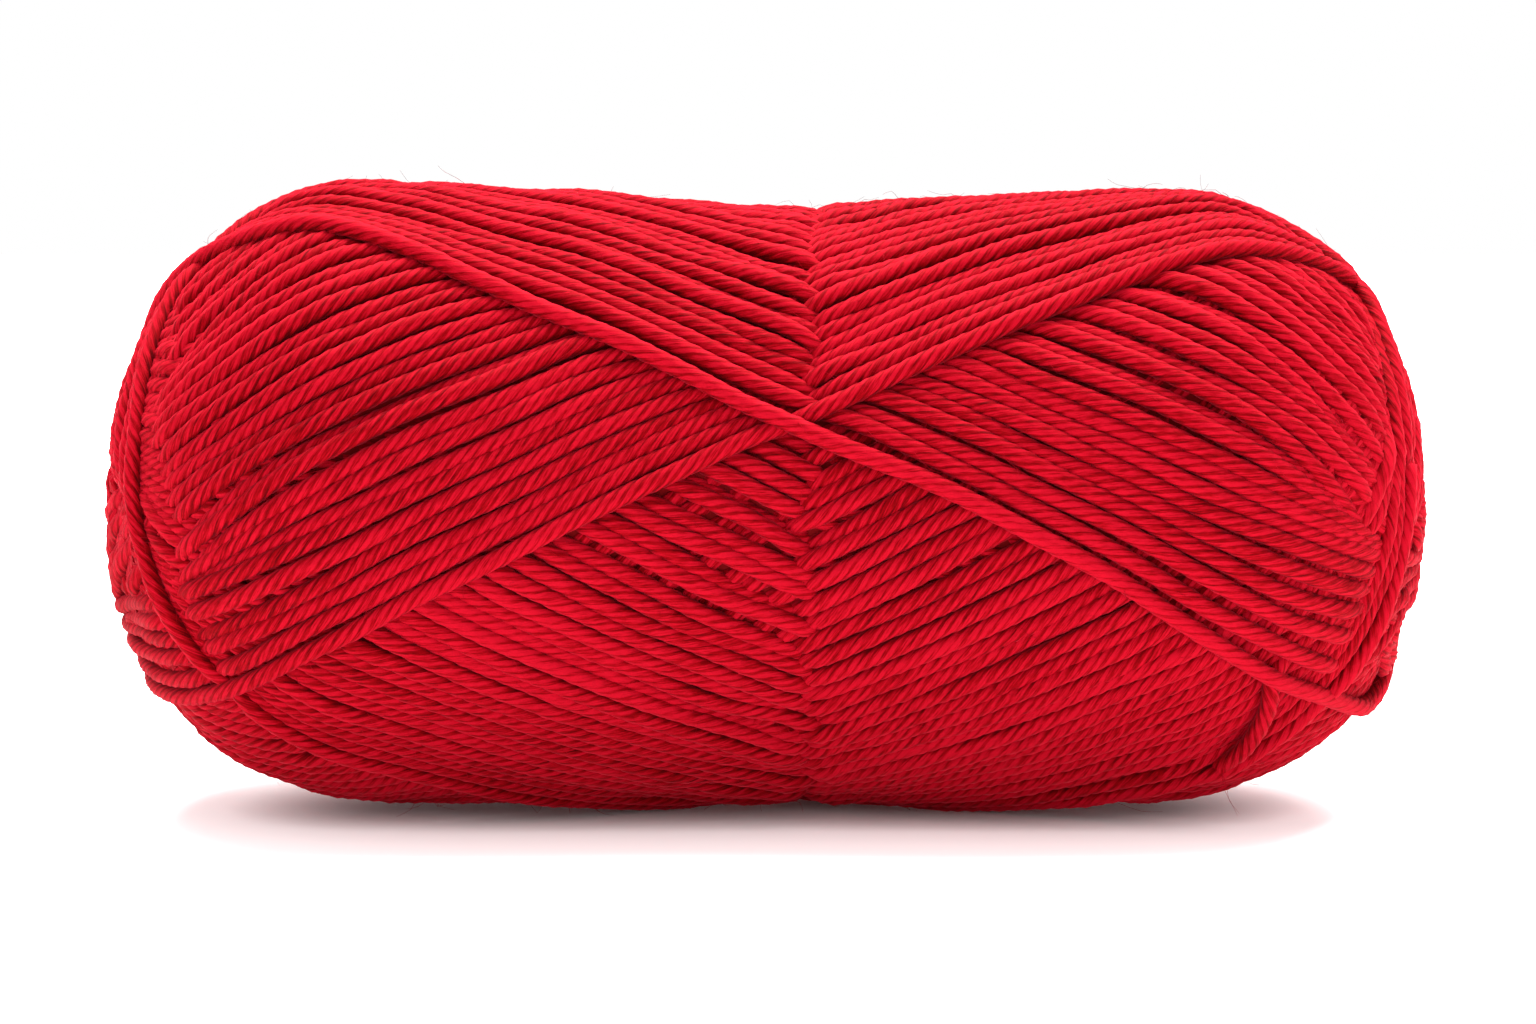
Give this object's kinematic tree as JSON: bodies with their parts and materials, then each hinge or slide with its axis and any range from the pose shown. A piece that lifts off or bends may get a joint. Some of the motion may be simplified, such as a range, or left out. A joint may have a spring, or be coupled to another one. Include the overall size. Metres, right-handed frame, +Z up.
{
  "type": "yarn skein",
  "caption": "Pull skein of plied yarn lying on its side, wound in crossing turns with a herringbone middle and rounded ends.",
  "frame": {"origin": "on the flat spot that the skein rests on, under the middle of its bounding box", "axes": "+X along the skein, to the right of the pictured side; -Y towards the pictured side; +Z up"},
  "size_m": [0.1252, 0.0624, 0.0596],
  "materials": {
    "yarn": "matt plied cotton with a soft sheen"
  },
  "bodies": {
    "root": {"skein": "yarn"}
  },
  "joints": []
}
